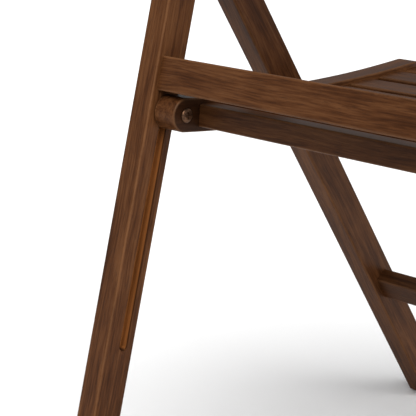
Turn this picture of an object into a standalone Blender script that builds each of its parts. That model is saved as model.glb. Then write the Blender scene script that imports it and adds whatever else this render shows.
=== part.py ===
"""Folding wooden chair: a front frame that is also the back, a rear frame, and a slatted seat.

The rear legs hang on butt hinges behind the front legs, and the seat hangs on bolts through the
rear legs. A pin through each seat nose follows a groove in the front leg, so the chair folds flat.
Metres, +Z up. The chair faces -Y, and its origin is on the floor, under the middle of its box.
"""

import math

import bmesh
import bpy
from mathutils import Matrix, Vector

# Driving dimensions.
CHAIR_WIDTH = 0.450
CHAIR_HEIGHT = 0.785
FRONT_LEAN = math.radians(14.6)  # front legs, from the vertical
REAR_LEAN = math.radians(33.5)  # rear legs, from the vertical
SEAT_SLOPE = math.radians(4.0)  # seat, down towards the back
LEG_WIDTH = 0.0245
LEG_DEPTH = 0.0345
PIN_HEIGHT = 0.405  # slide pin above the floor, with the chair open
PIN_FROM_LEG_FRONT = 0.0212
REAR_FACE_BEHIND_PIN = 0.1515  # rear leg's front face, level with the pin
GLIDE_HEIGHT = 0.002
GAP = 0.0003  # between pieces that touch
PAST = 0.004  # how far a cutter reaches out past the face that it opens

# Front frame.
CROSS_RAIL_LOW, CROSS_RAIL_HIGH = 0.0180, 0.0501  # along the leg, from the pin
CROSS_RAIL_SETBACK = 0.0052
RAIL_THICKNESS = 0.018
STRETCHER_HEIGHT = 0.030
FRONT_STRETCHER_ABOVE_FLOOR = 0.100
REAR_STRETCHER_ABOVE_FLOOR = 0.150
BACK_SLATS = {
    "back_slat_low": (0.202, 0.240),
    "back_slat_middle": (0.262, 0.300),
    "crest_rail": (0.322, 0.377),
}
BACK_SLAT_THICKNESS = 0.011
BACK_SLAT_BOW = 0.012
GROOVE_WIDTH = 0.010
GROOVE_DEPTH = 0.009

# Seat.
SIDE_RAIL_WIDTH = 0.026
SIDE_RAIL_HEIGHT = 0.032
SIDE_RAIL_GAP = 0.0015  # to the legs
SEAT_DEPTH_BEHIND_PIN = 0.3465
DISH_FALL, DISH_BEND = -0.050, 0.295  # the dished seat, over its straight slope: see dish()
RAIL_STEPS = 20  # facets along a side rail's curve
SEAT_BAR_DEPTH = 0.022
REAR_BAR_INSET = 0.003
SEAT_BAR_BOTTOM, SEAT_BAR_TOP = -0.0120, 0.0094
FRONT_BAR_BEHIND_PIN = 0.0165
SLAT_COUNT = 6  # their spacing leaves the pivot bolts' heads in a gap
SLAT_DEPTH = 0.035
SLAT_THICKNESS = 0.010
SLAT_TOP = 0.0115
PIVOT_IN_REAR_LEG = 0.0165  # pivot bolt, behind the rear leg's front face
REAR_LEG_HEAD = 0.060  # rear leg above its hinge, before its head is bevelled

# Joints in the wood.
TENON = 0.010
TENON_SHOULDER = 0.0015
ARRIS = 0.0020

# Hardware.
HINGE_GAP = 0.001  # hinge axis to each leg's face
LEAF_THICKNESS, LEAF_WIDTH, LEAF_LENGTH = 0.0015, 0.018, 0.046
LEAF_PROUD = 0.0006
KNUCKLE_RADIUS, HINGE_PIN_RADIUS = 0.0030, 0.0013
KNUCKLE_LENGTH = LEAF_WIDTH / 3
SCREW_RADIUS, SCREW_HEAD_RADIUS, SCREW_LENGTH = 0.0015, 0.0030, 0.014
SCREW_PLACES = (0.016, 0.036)  # down each leaf, from the hinge axis
POINT = 0.003  # tapered end of a screw or nail
DRILL_SPARE = 0.001  # a hole beyond the end of what sits in it
SLIDE_PIN_RADIUS, SLIDE_PIN_HEAD_RADIUS = 0.0035, 0.0066
BOLT_RADIUS, BOLT_HEAD_RADIUS = 0.0030, 0.0048
NUT_RADIUS, NUT_FLANGE_RADIUS, NUT_LENGTH = 0.0044, 0.0075, 0.014
HEAD_HEIGHT = 0.0030
BOLT_SHORT_OF_NUT_FACE = 0.0025
CHAMFER = 0.0005  # on the ends of pins
WASHER_THICKNESS, WASHER_RADIUS = 0.0008, 0.0100
GLIDE_RADIUS, NAIL_RADIUS, NAIL_LENGTH = 0.0085, 0.0012, 0.012

LEG_INNER = CHAIR_WIDTH / 2 - LEG_WIDTH
RAIL_OUTER = LEG_INNER - SIDE_RAIL_GAP
RAIL_INNER = RAIL_OUTER - SIDE_RAIL_WIDTH
PIN_FROM_LEG_BACK = LEG_DEPTH - PIN_FROM_LEG_FRONT
OPEN_ANGLE = FRONT_LEAN + REAR_LEAN
SIDES = {"left": -1, "right": 1}


# Places, worked out from the dimensions. Pairs are (Y, Z) from the slide pin.


def along(angle):
    """Unit vector that leans back by angle from straight up."""
    return Vector((math.sin(angle), math.cos(angle)))


def pin_place():
    """The slide pins' axis in the world, with the chair's box centred on the origin."""
    drop = PIN_HEIGHT - GLIDE_HEIGHT
    front = -drop * math.tan(FRONT_LEAN) - PIN_FROM_LEG_FRONT / math.cos(FRONT_LEAN)
    rear = REAR_FACE_BEHIND_PIN + drop * math.tan(REAR_LEAN) + LEG_DEPTH / math.cos(REAR_LEAN)
    return Vector((0, -(front + rear) / 2, PIN_HEIGHT))


def hinge_place():
    """Distance up the leg from the pin, and the (Y, Z) of the hinge axis behind the front leg."""
    behind = PIN_FROM_LEG_BACK + HINGE_GAP
    reach = REAR_FACE_BEHIND_PIN * math.cos(REAR_LEAN) - HINGE_GAP
    up = (reach - behind * math.cos(OPEN_ANGLE)) / math.sin(OPEN_ANGLE)
    across = Vector((math.cos(FRONT_LEAN), -math.sin(FRONT_LEAN)))
    return up, up * along(FRONT_LEAN) + behind * across


def seat_pivot_place():
    """Distance from the slide pin, and the (Y, Z) of the bolt where the rail meets the rear leg."""
    across_leg = REAR_FACE_BEHIND_PIN * math.cos(REAR_LEAN) + PIVOT_IN_REAR_LEG
    reach = across_leg / math.cos(REAR_LEAN + SEAT_SLOPE)
    return reach, reach * Vector((math.cos(SEAT_SLOPE), -math.sin(SEAT_SLOPE)))


def groove_travel():
    """How far the slide pin runs down its groove as the rear legs close on the front legs."""
    hinge_up, hinge = hinge_place()
    reach, pivot = seat_pivot_place()
    down_leg = (hinge - pivot).dot(along(-REAR_LEAN))
    behind = PIN_FROM_LEG_BACK + 2 * HINGE_GAP + PIVOT_IN_REAR_LEG
    return -(hinge_up - down_leg - math.sqrt(reach**2 - behind**2))


# Modelling tools.


def clear_scene():
    for obj in list(bpy.data.objects):
        bpy.data.objects.remove(obj, do_unlink=True)


def new_collection(name):
    collection = bpy.data.collections.new(name)
    bpy.context.scene.collection.children.link(collection)
    return collection


def principled(name, color, roughness, metallic=0.0):
    material = bpy.data.materials.new(name)
    material.use_nodes = True
    shader = material.node_tree.nodes["Principled BSDF"]
    shader.inputs["Base Color"].default_value = (*color, 1.0)
    shader.inputs["Roughness"].default_value = roughness
    shader.inputs["Metallic"].default_value = metallic
    return material


def material_for(name):
    if name.startswith("glide"):
        return PLASTIC
    return STEEL if name.startswith(("hinge", "slide_pin", "pivot")) else WOOD


def axis_empty(name, place, tilt=0.0):
    """An empty on a joint's axis: the pieces of a frame are its children."""
    empty = bpy.data.objects.new(name, None)
    empty.empty_display_size = 0.05
    empty.location = place
    empty.rotation_euler = (tilt, 0, 0)
    PARTS.objects.link(empty)
    return empty


def add_object(name, mesh, collection, parent, location=(0, 0, 0), rotation=(0, 0, 0)):
    obj = bpy.data.objects.new(name, mesh)
    obj.parent = parent
    obj.location = location
    obj.rotation_euler = rotation
    collection.objects.link(obj)
    if collection is CUTTERS:
        obj.hide_render = True
        obj.display_type = "WIRE"
    else:
        mesh.materials.append(material_for(name))
    return obj


def round_edges(mesh_edit, edges, radius, segments):
    bmesh.ops.bevel(
        mesh_edit, geom=edges, offset=radius, offset_type="OFFSET", segments=segments,
        profile=0.5, affect="EDGES", clamp_overlap=True, material=-1,
    )


def edges_along(mesh_edit, axis):
    """The box edges that run along one axis, 0 to 2."""
    def runs(edge):
        step = edge.verts[0].co - edge.verts[1].co
        return abs(step[axis]) > 0.999 * step.length
    return [edge for edge in mesh_edit.edges if runs(edge)]


def box_edit(low, high):
    """A bmesh box between two corners, centred on its own origin, and its middle."""
    low, high = Vector(low), Vector(high)
    mesh_edit = bmesh.new()
    bmesh.ops.create_cube(mesh_edit, size=1.0)
    bmesh.ops.scale(mesh_edit, vec=high - low, verts=mesh_edit.verts)
    return mesh_edit, (low + high) / 2


def mesh_of(mesh_edit, name, smooth=True):
    mesh = bpy.data.meshes.new(name)
    mesh_edit.to_mesh(mesh)
    mesh_edit.free()
    if smooth:
        mesh.shade_smooth()
        mesh.set_sharp_from_angle(angle=math.radians(35))
    return mesh


def box(name, low, high, parent, collection=None, arris=0.0):
    """A box between two corners in its parent's frame, with every edge rounded by arris."""
    mesh_edit, middle = box_edit(low, high)
    if arris:
        round_edges(mesh_edit, mesh_edit.edges[:], arris, 3)
    return add_object(name, mesh_of(mesh_edit, name), collection or PARTS, parent, middle)


def cut(target, cutter, operation="DIFFERENCE"):
    modifier = target.modifiers.new(cutter.name, "BOOLEAN")
    modifier.operation = operation
    modifier.object = cutter
    modifier.solver = "EXACT"


def cut_flat(mesh_edit, point, normal):
    """Slices the mesh by a plane and closes the cut. What lies on the normal's side goes."""
    whole = mesh_edit.verts[:] + mesh_edit.edges[:] + mesh_edit.faces[:]
    made = bmesh.ops.bisect_plane(
        mesh_edit, geom=whole, plane_co=point, plane_no=normal, clear_outer=True
    )
    rim = [item for item in made["geom_cut"] if isinstance(item, bmesh.types.BMEdge)]
    bmesh.ops.edgeloop_fill(mesh_edit, edges=rim)
    bmesh.ops.recalc_face_normals(mesh_edit, faces=mesh_edit.faces)


def turned(name, profile, place, towards, parent=None, closed=False, collection=None, steps=24):
    """A turned piece. The profile is (radius, height) pairs, from the top down its outer side."""
    mesh = bpy.data.meshes.new(name)
    edges = [(i, i + 1) for i in range(len(profile) - 1)]
    if closed:
        edges.append((len(profile) - 1, 0))
    mesh.from_pydata([(radius, 0, height) for radius, height in profile], edges, [])
    rotation = Vector((0, 0, 1)).rotation_difference(Vector(towards)).to_euler()
    obj = add_object(name, mesh, collection or PARTS, parent, place, rotation)
    screw = obj.modifiers.new("turn", "SCREW")
    screw.steps = steps
    screw.render_steps = steps
    screw.use_merge_vertices = True
    screw.merge_threshold = 0.00001
    screw.use_smooth_shade = True
    return obj


def rod_cutter(name, radius, low, high, parent, place=(0, 0)):
    """A cutter rod along X, at (Y, Z) in its parent's frame."""
    mesh_edit = bmesh.new()
    bmesh.ops.create_cone(
        mesh_edit, cap_ends=True, segments=24, radius1=radius, radius2=radius, depth=high - low,
        matrix=Matrix.Rotation(math.pi / 2, 4, "Y"),
    )
    middle = ((low + high) / 2, place[0], place[1])
    return add_object(name, mesh_of(mesh_edit, name), CUTTERS, parent, middle)


# Wooden pieces.


def leg(name, side, parent, back_low, back_high, foot, cut_point, cut_normal):
    """A leg bar in its frame, with a level foot and, if a plane is given, a bevelled head."""
    inner, outer = sorted((side * LEG_INNER, side * CHAIR_WIDTH / 2))
    mesh_edit, middle = box_edit((inner, back_low, foot[0]), (outer, back_high, foot[1]))
    round_edges(mesh_edit, mesh_edit.edges[:], ARRIS, 3)
    tilt = parent.rotation_euler.x
    down = Vector((0, -math.sin(tilt), -math.cos(tilt)))
    floor_drop = parent.location.z - GLIDE_HEIGHT - GAP
    cut_flat(mesh_edit, down * floor_drop - middle, down)
    if cut_normal:
        cut_flat(mesh_edit, Vector(cut_point) - middle, Vector(cut_normal))
    return add_object(name, mesh_of(mesh_edit, name), PARTS, parent, middle)


def tenoned_bar(name, half_span, low, high, parent, posts, bow=0.0, tilt=0.0):
    """A bar along X between two posts, with shouldered tenons in mortises that this also cuts.

    low and high are (Y, Z) corners of its section, before it is tilted about its middle. A bow
    pushes its middle back.
    """
    end = half_span - GAP
    mesh_edit, middle = box_edit((-end, *low), (end, *high))
    round_edges(mesh_edit, edges_along(mesh_edit, 0), ARRIS, 3)
    mesh_edit.normal_update()
    ends = [face for face in mesh_edit.faces if abs(face.normal.x) > 0.99]
    bmesh.ops.inset_individual(mesh_edit, faces=ends, thickness=TENON_SHOULDER, use_even_offset=True)
    for face in bmesh.ops.extrude_discrete_faces(mesh_edit, faces=ends)["faces"]:
        step = Vector((math.copysign(TENON, face.calc_center_median().x), 0, 0))
        bmesh.ops.translate(mesh_edit, vec=step, verts=face.verts)
    if bow:
        bend_back(mesh_edit, end, bow)
    bar = add_object(name, mesh_of(mesh_edit, name), PARTS, parent, middle, (tilt, 0, 0))
    reach = half_span + TENON + GAP
    inset = TENON_SHOULDER - GAP
    socket = box(
        f"{name}_mortise",
        (-reach, low[0] + inset, low[1] + inset),
        (reach, high[0] - inset, high[1] - inset),
        parent, CUTTERS,
    )
    socket.rotation_euler.x = tilt
    for post in posts:
        cut(post, socket)
    return bar


def bend_back(mesh_edit, half_length, bow):
    """Bends a bar along X so that its middle moves back by bow and its tenons stay in line."""
    long_edges = [edge for edge in edges_along(mesh_edit, 0) if edge.calc_length() > half_length]
    bmesh.ops.subdivide_edges(mesh_edit, edges=long_edges, cuts=15, use_grid_fill=True)
    for vert in mesh_edit.verts:
        share = min(abs(vert.co.x) / half_length, 1.0)
        vert.co.y += bow * (1 - share**2) ** 2


def dish(behind_pin):
    """How far the seat's curve lies above its straight slope, and its tilt, behind the pin."""
    run = max(behind_pin, 0.0)
    return DISH_FALL * run + DISH_BEND * run**2, math.atan(DISH_FALL + 2 * DISH_BEND * run)


def curve_along(mesh_edit, from_pin):
    """Cuts a rail into short lengths and lifts them onto the seat's curve."""
    ends = [max(vert.co.y for vert in mesh_edit.verts), -from_pin]
    for index in range(RAIL_STEPS):
        place = Vector((0, ends[1] + (ends[0] - ends[1]) * index / RAIL_STEPS, 0))
        whole = mesh_edit.verts[:] + mesh_edit.edges[:] + mesh_edit.faces[:]
        bmesh.ops.bisect_plane(mesh_edit, geom=whole, plane_co=place, plane_no=(0, 1, 0), dist=1e-6)
    for vert in mesh_edit.verts:
        vert.co.z += dish(vert.co.y + from_pin)[0]


def side_rail(name, side, parent, pin_reach):
    """A dished seat side rail with a full round nose about the slide pin."""
    inner, outer = sorted((side * RAIL_INNER, side * RAIL_OUTER))
    half = SIDE_RAIL_HEIGHT / 2
    low = (inner, -pin_reach - half, -half)
    high = (outer, SEAT_DEPTH_BEHIND_PIN - pin_reach, half)
    mesh_edit, middle = box_edit(low, high)
    nose = [edge for edge in edges_along(mesh_edit, 0) if edge.verts[0].co.y < 0]
    tail = [edge for edge in edges_along(mesh_edit, 0) if edge.verts[0].co.y > 0]
    round_edges(mesh_edit, nose, half * 0.9999, 10)
    round_edges(mesh_edit, tail, half * 0.5, 6)
    bmesh.ops.remove_doubles(mesh_edit, verts=mesh_edit.verts, dist=0.00005)
    mesh_edit.normal_update()
    rims = [edge for edge in mesh_edit.edges if edge.calc_face_angle(0) > math.radians(60)]
    round_edges(mesh_edit, rims, ARRIS * 0.75, 3)
    curve_along(mesh_edit, middle.y + pin_reach)
    return add_object(name, mesh_of(mesh_edit, name), PARTS, parent, middle)


def groove_cutter(side, parent):
    """A round-ended slot along the leg's inner face, from the pin to the end of its travel."""
    half = GROOVE_WIDTH / 2
    mouth = side * (LEG_INNER - PAST)
    floor = side * (LEG_INNER + GROOVE_DEPTH)
    low_x, high_x = sorted((mouth, floor))
    mesh_edit, middle = box_edit((low_x, -half, -groove_travel() - half), (high_x, half, half))
    round_edges(mesh_edit, edges_along(mesh_edit, 0), half * 0.998, 8)
    name = f"groove_{'left' if side < 0 else 'right'}"
    return add_object(name, mesh_of(mesh_edit, name), CUTTERS, parent, middle)


# Hardware pieces.


def dome_head(radius, height, steps=5):
    """Profile points of a shallow domed head, from its crown to its rim, standing on height 0."""
    rise = height * 0.75
    points = []
    for i in range(steps + 1):
        angle = math.pi / 2 * i / steps
        points.append((radius * math.sin(angle), height - rise + rise * math.cos(angle)))
    return [*points, (radius, 0.0)]


def hinge_leaf(name, side, parent, face, knuckles, outward):
    """A leaf in its leg's frame: a plate below the axis, rolled into knuckles about it.

    face is the leg face's distance behind the axis, and outward is the side of it that is air.
    """
    centre = side * (LEG_INNER + LEG_WIDTH / 2)
    half = LEAF_WIDTH / 2
    top = face + outward * LEAF_PROUD
    plate_low, plate_high = sorted((top, top - outward * LEAF_THICKNESS))
    leaf = box(
        name, (centre - half, plate_low, -LEAF_LENGTH), (centre + half, plate_high, 0), parent
    )
    roll = rod_cutter(f"{name}_roll", KNUCKLE_RADIUS, centre - half, centre + half, parent)
    cut(leaf, roll, "UNION")
    bore = rod_cutter(
        f"{name}_bore", HINGE_PIN_RADIUS + GAP, centre - LEAF_WIDTH, centre + LEAF_WIDTH, parent
    )
    cut(leaf, bore)
    for index in range(3):
        if index in knuckles:
            continue
        start = centre - half + index * KNUCKLE_LENGTH
        notch = box(
            f"{name}_notch_{index}",
            (start - GAP, -2 * KNUCKLE_RADIUS, -1.4 * KNUCKLE_RADIUS),
            (start + KNUCKLE_LENGTH + GAP, 2 * KNUCKLE_RADIUS, 2 * KNUCKLE_RADIUS),
            parent, CUTTERS,
        )
        cut(leaf, notch)
    return leaf


def leaf_recess(name, side, parent, face, outward, leg_object):
    """The shallow recess and the knuckle slot that a leaf lies in."""
    centre = side * (LEG_INNER + LEG_WIDTH / 2)
    half = LEAF_WIDTH / 2 + GAP
    floor = face - outward * (LEAF_THICKNESS - LEAF_PROUD + GAP)
    near, far = sorted((floor, face + outward * PAST))
    recess = box(
        f"{name}_recess", (centre - half, near, -LEAF_LENGTH - GAP), (centre + half, far, 0),
        parent, CUTTERS,
    )
    slot = rod_cutter(
        f"{name}_slot", KNUCKLE_RADIUS + GAP, centre - half, centre + half, parent
    )
    cut(leg_object, recess)
    cut(leg_object, slot)


def leaf_screws(name, side, parent, face, outward, leaf, leg_object):
    """Two countersunk screws through a leaf into its leg."""
    centre = side * (LEG_INNER + LEG_WIDTH / 2)
    top = face + outward * LEAF_PROUD
    for number, down in enumerate(SCREW_PLACES, start=1):
        place = (centre, top, -down)
        towards = (0, outward, 0)
        profile = [
            (0, 0), (SCREW_HEAD_RADIUS, 0), (SCREW_RADIUS, -LEAF_THICKNESS),
            (SCREW_RADIUS, POINT - SCREW_LENGTH), (0, -SCREW_LENGTH),
        ]
        depth = -SCREW_LENGTH - DRILL_SPARE
        hole = [
            (0, PAST), (SCREW_HEAD_RADIUS + GAP, PAST), (SCREW_HEAD_RADIUS + GAP, 0),
            (SCREW_RADIUS + GAP, -LEAF_THICKNESS), (SCREW_RADIUS + GAP, depth), (0, depth),
        ]
        turned(f"{name}_screw_{number}", profile, place, towards, parent, steps=12)
        drill = turned(
            f"{name}_drill_{number}", hole, place, towards, parent, collection=CUTTERS, steps=12
        )
        cut(leaf, drill)
        cut(leg_object, drill)


def glide(name, leg_object, y):
    """A nail-on glide under a foot."""
    side = -1 if "left" in name else 1
    place = (side * (LEG_INNER + LEG_WIDTH / 2), y, 0)
    profile = [
        (0, GLIDE_HEIGHT + NAIL_LENGTH), (NAIL_RADIUS, GLIDE_HEIGHT + NAIL_LENGTH - POINT),
        (NAIL_RADIUS, GLIDE_HEIGHT), (GLIDE_RADIUS, GLIDE_HEIGHT),
        (GLIDE_RADIUS, GLIDE_HEIGHT * 0.4), (GLIDE_RADIUS * 0.88, 0), (0, 0),
    ]
    turned(name, profile, place, (0, 0, 1))
    hole_radius = NAIL_RADIUS + GAP
    depth = GLIDE_HEIGHT + NAIL_LENGTH + DRILL_SPARE
    hole = [(0, depth), (hole_radius, depth), (hole_radius, 0), (0, 0)]
    cut(leg_object, turned(f"{name}_hole", hole, place, (0, 0, 1), collection=CUTTERS, steps=12))


# Sub-assemblies.


def build_front_frame(frame):
    """Front legs, which run up to the back, and everything fixed between them."""
    rise = CHAIR_HEIGHT - PIN_HEIGHT - PIN_FROM_LEG_FRONT * math.sin(FRONT_LEAN)
    top = rise / math.cos(FRONT_LEAN)
    bottom = -(PIN_HEIGHT + LEG_DEPTH) / math.cos(FRONT_LEAN)
    legs = {}
    for word, side in SIDES.items():
        legs[word] = leg(
            f"front_leg_{word}", side, frame, -PIN_FROM_LEG_FRONT, PIN_FROM_LEG_BACK,
            (bottom, top), None, None,
        )
        cut(legs[word], groove_cutter(side, frame))
    rail_front = -PIN_FROM_LEG_FRONT + CROSS_RAIL_SETBACK
    tenoned_bar(
        "cross_rail", LEG_INNER, (rail_front, CROSS_RAIL_LOW),
        (rail_front + RAIL_THICKNESS, CROSS_RAIL_HIGH), frame, legs.values(),
    )
    height = (FRONT_STRETCHER_ABOVE_FLOOR - PIN_HEIGHT) / math.cos(FRONT_LEAN)
    middle = LEG_DEPTH / 2 - PIN_FROM_LEG_FRONT
    half = (RAIL_THICKNESS / 2, STRETCHER_HEIGHT / 2)
    tenoned_bar(
        "front_stretcher", LEG_INNER, (middle - half[0], height - half[1]),
        (middle + half[0], height + half[1]), frame, legs.values(),
    )
    for name, (low, high) in BACK_SLATS.items():
        tenoned_bar(
            name, LEG_INNER, (middle - BACK_SLAT_THICKNESS / 2, low),
            (middle + BACK_SLAT_THICKNESS / 2, high), frame, legs.values(), bow=BACK_SLAT_BOW,
        )
    return legs


def build_rear_frame(frame, hinge):
    """Rear legs, bevelled to lie against the front legs when open, and their stretcher."""
    low, high = HINGE_GAP, HINGE_GAP + LEG_DEPTH
    foot = -hinge_height(hinge) / math.cos(REAR_LEAN) - LEG_DEPTH
    normal = (0, -math.cos(OPEN_ANGLE), math.sin(OPEN_ANGLE))
    stop = [0, *(Vector(normal[1:]) * (HINGE_GAP - GAP))]
    legs = {}
    for word, side in SIDES.items():
        legs[word] = leg(
            f"rear_leg_{word}", side, frame, low, high, (foot, REAR_LEG_HEAD), stop, normal
        )
    down = -(hinge_height(hinge) - REAR_STRETCHER_ABOVE_FLOOR) / math.cos(REAR_LEAN)
    middle = HINGE_GAP + LEG_DEPTH / 2
    half = (RAIL_THICKNESS / 2, STRETCHER_HEIGHT / 2)
    tenoned_bar(
        "rear_stretcher", LEG_INNER, (middle - half[0], down - half[1]),
        (middle + half[0], down + half[1]), frame, legs.values(),
    )
    return legs


def hinge_height(hinge):
    return PIN_HEIGHT + hinge.y


def build_seat(frame, pin_reach):
    """Side rails, and front bar, slats and rear bar along their curve.

    Places along the seat count from the pivot.
    """
    rails = {}
    for word, side in SIDES.items():
        rails[word] = side_rail(f"seat_side_rail_{word}", side, frame, pin_reach)
    front = FRONT_BAR_BEHIND_PIN - pin_reach
    rear = SEAT_DEPTH_BEHIND_PIN - pin_reach - REAR_BAR_INSET - SEAT_BAR_DEPTH
    tenoned_bar(
        "seat_front_bar", RAIL_INNER, (front, SEAT_BAR_BOTTOM),
        (front + SEAT_BAR_DEPTH, SEAT_BAR_TOP), frame, rails.values(),
    )
    room = rear - front - SEAT_BAR_DEPTH
    spacing = (room - SLAT_COUNT * SLAT_DEPTH) / (SLAT_COUNT + 1)
    bars = [("seat_rear_bar", rear, SEAT_BAR_DEPTH, SEAT_BAR_BOTTOM, SEAT_BAR_TOP)]
    for index in range(SLAT_COUNT):
        start = front + SEAT_BAR_DEPTH + spacing + index * (SLAT_DEPTH + spacing)
        name = f"seat_slat_{index + 1}"
        bars.append((name, start, SLAT_DEPTH, SLAT_TOP - SLAT_THICKNESS, SLAT_TOP))
    for name, start, depth, bottom, top in bars:
        lift, tilt = dish(start + depth / 2 + pin_reach)
        tenoned_bar(
            name, RAIL_INNER, (start, bottom + lift), (start + depth, top + lift),
            frame, rails.values(), tilt=tilt,
        )
    return rails


def build_slide_pins(frame, pin_reach, rails):
    """Pins through the seat noses. They stop short of the leg, on the open side of the groove."""
    end = CHAIR_WIDTH / 2
    hole = rod_cutter("slide_pin_hole", SLIDE_PIN_RADIUS + GAP, -end, end, frame, (-pin_reach, 0))
    length = SIDE_RAIL_WIDTH + GAP + SIDE_RAIL_GAP / 2
    for word, side in SIDES.items():
        cut(rails[word], hole)
        place = (side * (RAIL_INNER - GAP), -pin_reach, 0)
        profile = [
            *dome_head(SLIDE_PIN_HEAD_RADIUS, HEAD_HEIGHT), (SLIDE_PIN_RADIUS, 0),
            (SLIDE_PIN_RADIUS, CHAMFER - length), (SLIDE_PIN_RADIUS - CHAMFER, -length), (0, -length),
        ]
        turned(f"slide_pin_{word}", profile, place, (-side, 0, 0), frame)


def build_pivots(frame, rails, rear_legs):
    """Bolts, washers and cap nuts that hang the seat on the rear legs."""
    hole = rod_cutter("pivot_hole", BOLT_RADIUS + GAP, -CHAIR_WIDTH, CHAIR_WIDTH, frame)
    nut_end = CHAIR_WIDTH / 2 - NUT_LENGTH
    bolt_length = CHAIR_WIDTH / 2 - RAIL_INNER - BOLT_SHORT_OF_NUT_FACE
    for word, side in SIDES.items():
        cut(rails[word], hole)
        cut(rear_legs[word], hole)
        seat_for_nut = rod_cutter(
            f"pivot_nut_hole_{word}", NUT_RADIUS + GAP,
            *sorted((side * (nut_end - GAP), side * CHAIR_WIDTH)), frame,
        )
        cut(rear_legs[word], seat_for_nut)
        bolt = [
            *dome_head(BOLT_HEAD_RADIUS, HEAD_HEIGHT), (BOLT_RADIUS, 0),
            (BOLT_RADIUS, CHAMFER - bolt_length), (BOLT_RADIUS - CHAMFER, -bolt_length),
            (0, -bolt_length),
        ]
        turned(f"pivot_bolt_{word}", bolt, (side * (RAIL_INNER - GAP), 0, 0), (-side, 0, 0), frame)
        bore = BOLT_RADIUS + GAP
        nut = [
            *dome_head(NUT_FLANGE_RADIUS, HEAD_HEIGHT), (NUT_RADIUS, 0), (NUT_RADIUS, -NUT_LENGTH),
            (bore, -NUT_LENGTH), (bore, -DRILL_SPARE), (0, -DRILL_SPARE),
        ]
        turned(f"pivot_nut_{word}", nut, (side * (CHAIR_WIDTH / 2 + GAP), 0, 0), (side, 0, 0), frame)
        half = WASHER_THICKNESS / 2
        ring = [(WASHER_RADIUS, half), (WASHER_RADIUS, -half), (bore, -half), (bore, half)]
        middle = side * (LEG_INNER - SIDE_RAIL_GAP / 2)
        turned(f"pivot_washer_{word}", ring, (middle, 0, 0), (side, 0, 0), frame, closed=True)


def build_hinges(front_axis, rear_axis, front_legs, rear_legs):
    """Butt hinges between the legs: the front leaf has the outer knuckles."""
    for word, side in SIDES.items():
        leaves = (
            (f"hinge_leaf_front_{word}", front_axis, -HINGE_GAP, 1, (0, 2), front_legs[word]),
            (f"hinge_leaf_rear_{word}", rear_axis, HINGE_GAP, -1, (1,), rear_legs[word]),
        )
        for name, axis, face, outward, knuckles, leg_object in leaves:
            leaf = hinge_leaf(name, side, axis, face, knuckles, outward)
            leaf_recess(name, side, axis, face, outward, leg_object)
            leaf_screws(name, side, axis, face, outward, leaf, leg_object)
        length = LEAF_WIDTH / 2 - CHAMFER
        pin = [
            (0, length), (HINGE_PIN_RADIUS, length), (HINGE_PIN_RADIUS, -length), (0, -length),
        ]
        centre = side * (LEG_INNER + LEG_WIDTH / 2)
        turned(f"hinge_pin_{word}", pin, (centre, 0, 0), (1, 0, 0), front_axis, steps=16)


def build_glides(pin, front_legs, rear_legs):
    """A glide under the middle of each foot."""
    drop = PIN_HEIGHT - GLIDE_HEIGHT
    front_middle = (LEG_DEPTH / 2 - PIN_FROM_LEG_FRONT) / math.cos(FRONT_LEAN)
    rear_middle = REAR_FACE_BEHIND_PIN + LEG_DEPTH / 2 / math.cos(REAR_LEAN)
    front_y = pin.y - drop * math.tan(FRONT_LEAN) + front_middle
    rear_y = pin.y + drop * math.tan(REAR_LEAN) + rear_middle
    for word in SIDES:
        glide(f"glide_front_{word}", front_legs[word], front_y)
        glide(f"glide_rear_{word}", rear_legs[word], rear_y)


clear_scene()
PARTS = new_collection("folding_chair")
CUTTERS = new_collection("cutters")
WOOD = principled("walnut_stained_wood", (0.095, 0.043, 0.020), 0.42)
STEEL = principled("dark_steel", (0.20, 0.17, 0.14), 0.38, 0.9)
PLASTIC = principled("brown_plastic", (0.04, 0.025, 0.018), 0.5)


def build_chair():
    pin = pin_place()
    hinge = hinge_place()[1]
    pin_reach, pivot = seat_pivot_place()
    hinge_point = pin + Vector((0, hinge.x, hinge.y))
    pivot_point = pin + Vector((0, pivot.x, pivot.y))
    front_frame = axis_empty("front_frame", pin, -FRONT_LEAN)
    front_hinge = axis_empty("front_hinge_axis", hinge_point, -FRONT_LEAN)
    rear_frame = axis_empty("rear_hinge_axis", hinge_point, REAR_LEAN)
    seat = axis_empty("seat_pivot_axis", pivot_point, -SEAT_SLOPE)
    front_legs = build_front_frame(front_frame)
    rear_legs = build_rear_frame(rear_frame, hinge)
    rails = build_seat(seat, pin_reach)
    build_slide_pins(seat, pin_reach, rails)
    build_pivots(seat, rails, rear_legs)
    build_hinges(front_hinge, rear_frame, front_legs, rear_legs)
    build_glides(pin, front_legs, rear_legs)


build_chair()
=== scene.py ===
"""Looks of a slatted folding chair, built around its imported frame.

The chair is dark brown stained wood under satin lacquer, with bronzed steel hardware and
moulded glides. The CAD's own wooden pieces stay and get their grain here, while the pins,
bolts, nuts, washers, screws and glides are built again with the detail that real ones have.
Metres, +Z up. The chair faces -Y.
"""

import logging
import math
from collections.abc import Callable
from dataclasses import dataclass, field
from enum import Enum

import bmesh
import bpy
from mathutils import Matrix, Vector

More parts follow.
